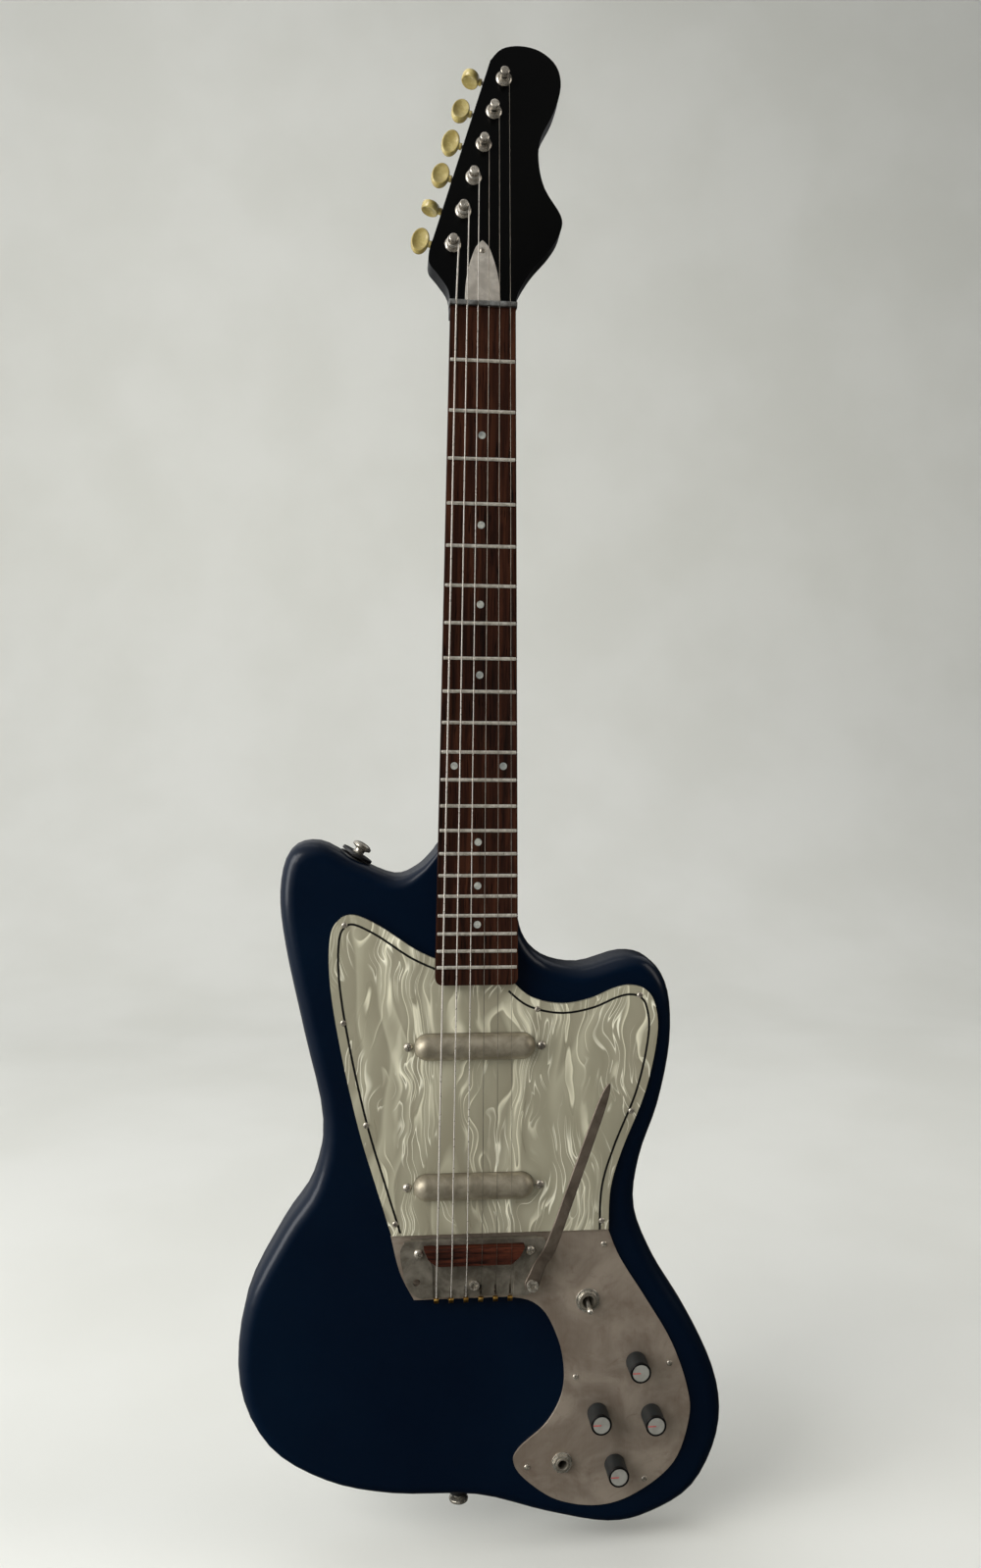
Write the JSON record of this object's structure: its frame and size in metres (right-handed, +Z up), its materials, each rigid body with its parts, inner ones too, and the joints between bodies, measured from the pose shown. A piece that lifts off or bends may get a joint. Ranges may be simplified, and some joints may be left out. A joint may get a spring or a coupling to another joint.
{
  "type": "electric guitar",
  "caption": "Solid-body electric guitar with offset horns, bolt-on neck, tube pickups, rocking tremolo bridge and inline open-gear tuners, all as separate pieces.",
  "frame": {"origin": "middle of the nut's front edge in the plane of the fretboard's top, where the guitar hangs", "axes": "+Z up along the neck, -Y towards the strings and the player's view, +X to the right as seen from the front"},
  "size_m": [0.346, 0.0722, 1.0452],
  "materials": {
    "body_paint": "semi-gloss navy paint over wood, soft highlights",
    "head_paint": "gloss black lacquer over wood",
    "rosewood": "open-grained reddish dark rosewood, satin",
    "nickel": "worn nickel plate",
    "pearl_dot": "pearly grey plastic",
    "aluminium": "satin cast aluminium",
    "brushed_plate": "brushed aluminium, warm grey",
    "rod_steel": "dark steel",
    "pearloid": "aged pearloid with a black inlay line",
    "pickup_chrome": "aged satin chrome",
    "copper_wire": "enamelled copper winding",
    "magnet": "ground alnico bar",
    "dull_nickel": "dull brushed nickel",
    "string_steel": "nickel wound and plain steel",
    "brass": "brass",
    "black_rubber": "black rubber",
    "knob_black": "matt dark plastic with a pale cap and a red line",
    "tuner_button": "aged ivory-coloured plastic on a nickel shaft"
  },
  "bodies": {
    "root": {"body": "body_paint", "neck": "head_paint", "fretboard": "rosewood", "frets": "nickel", "position_dots": "pearl_dot", "nut": "aluminium", "truss_rod": "rod_steel", "truss_rod_cover": "aluminium", "truss_cover_screw": "rod_steel", "neck_plate": "nickel", "neck_screws": "nickel", "pickguard": "pearloid", "pickguard_screws": "nickel", "control_plate": "brushed_plate", "control_plate_screws": "nickel", "pickup_covers": "pickup_chrome", "pickup_coils": "copper_wire", "pickup_magnets": "magnet", "pickup_brackets": "rod_steel", "pickup_screws": "nickel", "pickup_springs": "rod_steel", "pivot_screws": "nickel", "tremolo_spring": "rod_steel", "wound_strings": "string_steel", "plain_strings": "string_steel", "strap_buttons": "nickel", "strap_screws": "nickel", "strap_washers": "black_rubber", "switch_body": "rod_steel", "switch_nut": "nickel", "jack_body": "nickel", "jack_nut": "nickel", "potentiometers": "rod_steel", "pot_nuts": "nickel", "tuner_plates": "nickel", "tuner_bushings": "nickel", "tuner_screws": "nickel"},
    "tremolo": {"tremolo_plate": "dull_nickel", "saddle": "rosewood", "tension_screw": "rod_steel", "string_ball_ends": "brass", "arm_screw": "nickel"},
    "arm": {"tremolo_arm": "dull_nickel"},
    "switch": {"switch_lever": "nickel"},
    "knob_1": {"knob_1": "knob_black"},
    "knob_2": {"knob_2": "knob_black"},
    "knob_3": {"knob_3": "knob_black"},
    "knob_4": {"knob_4": "knob_black"},
    "post_1": {"tuner_post_1": "nickel"},
    "key_1": {"tuner_key_1": "tuner_button"},
    "post_2": {"tuner_post_2": "nickel"},
    "key_2": {"tuner_key_2": "tuner_button"},
    "post_3": {"tuner_post_3": "nickel"},
    "key_3": {"tuner_key_3": "tuner_button"},
    "post_4": {"tuner_post_4": "nickel"},
    "key_4": {"tuner_key_4": "tuner_button"},
    "post_5": {"tuner_post_5": "nickel"},
    "key_5": {"tuner_key_5": "tuner_button"},
    "post_6": {"tuner_post_6": "nickel"},
    "key_6": {"tuner_key_6": "tuner_button"}
  },
  "joints": [
    {"name": "tremolo_rock", "type": "hinge", "parent": "root", "child": "tremolo", "pos_m": [0.0005, 0.003, -0.646], "axis": [1, 0, 0], "range_deg": [-5, 1.5], "stiffness_Nm_per_rad": 60, "deforming": ["tremolo_spring", "wound_strings", "plain_strings"]},
    {"name": "arm_swing", "type": "hinge", "parent": "tremolo", "child": "arm", "pos_m": [0.041, 0.001, -0.67], "axis": [0, 1, 0], "range_deg": [-7, 70]},
    {"name": "switch_tilt", "type": "hinge", "parent": "root", "child": "switch", "pos_m": [0.082, 0.0121, -0.6865], "axis": [1, 0, 0], "range_deg": [-28, 0]},
    {"name": "knob_1_turn", "type": "hinge", "parent": "root", "child": "knob_1", "pos_m": [0.1175, 0, -0.7325], "axis": [0, 1, 0], "range_deg": [-60, 240]},
    {"name": "knob_2_turn", "type": "hinge", "parent": "root", "child": "knob_2", "pos_m": [0.09, 0, -0.7685], "axis": [0, 1, 0], "range_deg": [-60, 240]},
    {"name": "knob_3_turn", "type": "hinge", "parent": "root", "child": "knob_3", "pos_m": [0.129, 0, -0.771], "axis": [0, 1, 0], "range_deg": [-60, 240]},
    {"name": "knob_4_turn", "type": "hinge", "parent": "root", "child": "knob_4", "pos_m": [0.103, 0, -0.8065], "axis": [0, 1, 0], "range_deg": [-60, 240]},
    {"name": "key_1_turn", "type": "hinge", "parent": "root", "child": "key_1", "pos_m": [-0.01834, 0.03118, 0.04758], "axis": [-0.9608, 0.0386, 0.2746], "continuous": true},
    {"name": "post_1_turn", "type": "hinge", "parent": "root", "child": "post_1", "pos_m": [-0.02, 0.01126, 0.04456], "axis": [0, -0.9903, 0.1392], "continuous": true},
    {"name": "key_2_turn", "type": "hinge", "parent": "root", "child": "key_2", "pos_m": [-0.01129, 0.03457, 0.07175], "axis": [-0.9608, 0.0386, 0.2746], "continuous": true},
    {"name": "post_2_turn", "type": "hinge", "parent": "root", "child": "post_2", "pos_m": [-0.01296, 0.01466, 0.06873], "axis": [0, -0.9903, 0.1392], "continuous": true},
    {"name": "key_3_turn", "type": "hinge", "parent": "root", "child": "key_3", "pos_m": [-0.00425, 0.03797, 0.09592], "axis": [-0.9608, 0.0386, 0.2746], "continuous": true},
    {"name": "post_3_turn", "type": "hinge", "parent": "root", "child": "post_3", "pos_m": [-0.00591, 0.01806, 0.09289], "axis": [0, -0.9903, 0.1392], "continuous": true},
    {"name": "key_4_turn", "type": "hinge", "parent": "root", "child": "key_4", "pos_m": [0.0028, 0.04137, 0.12008], "axis": [-0.9608, 0.0386, 0.2746], "continuous": true},
    {"name": "post_4_turn", "type": "hinge", "parent": "root", "child": "post_4", "pos_m": [0.00113, 0.02145, 0.11706], "axis": [0, -0.9903, 0.1392], "continuous": true},
    {"name": "key_5_turn", "type": "hinge", "parent": "root", "child": "key_5", "pos_m": [0.00984, 0.04476, 0.14425], "axis": [-0.9608, 0.0386, 0.2746], "continuous": true},
    {"name": "post_5_turn", "type": "hinge", "parent": "root", "child": "post_5", "pos_m": [0.00818, 0.02485, 0.14123], "axis": [0, -0.9903, 0.1392], "continuous": true},
    {"name": "key_6_turn", "type": "hinge", "parent": "root", "child": "key_6", "pos_m": [0.01688, 0.04816, 0.16842], "axis": [-0.9608, 0.0386, 0.2746], "continuous": true},
    {"name": "post_6_turn", "type": "hinge", "parent": "root", "child": "post_6", "pos_m": [0.01522, 0.02824, 0.16539], "axis": [0, -0.9903, 0.1392], "continuous": true}
  ],
  "couplings": [
    {"joint": "post_1_turn", "follows": "key_1_turn", "ratio": -0.066667},
    {"joint": "post_2_turn", "follows": "key_2_turn", "ratio": -0.066667},
    {"joint": "post_3_turn", "follows": "key_3_turn", "ratio": -0.066667},
    {"joint": "post_4_turn", "follows": "key_4_turn", "ratio": -0.066667},
    {"joint": "post_5_turn", "follows": "key_5_turn", "ratio": -0.066667},
    {"joint": "post_6_turn", "follows": "key_6_turn", "ratio": -0.066667}
  ]
}
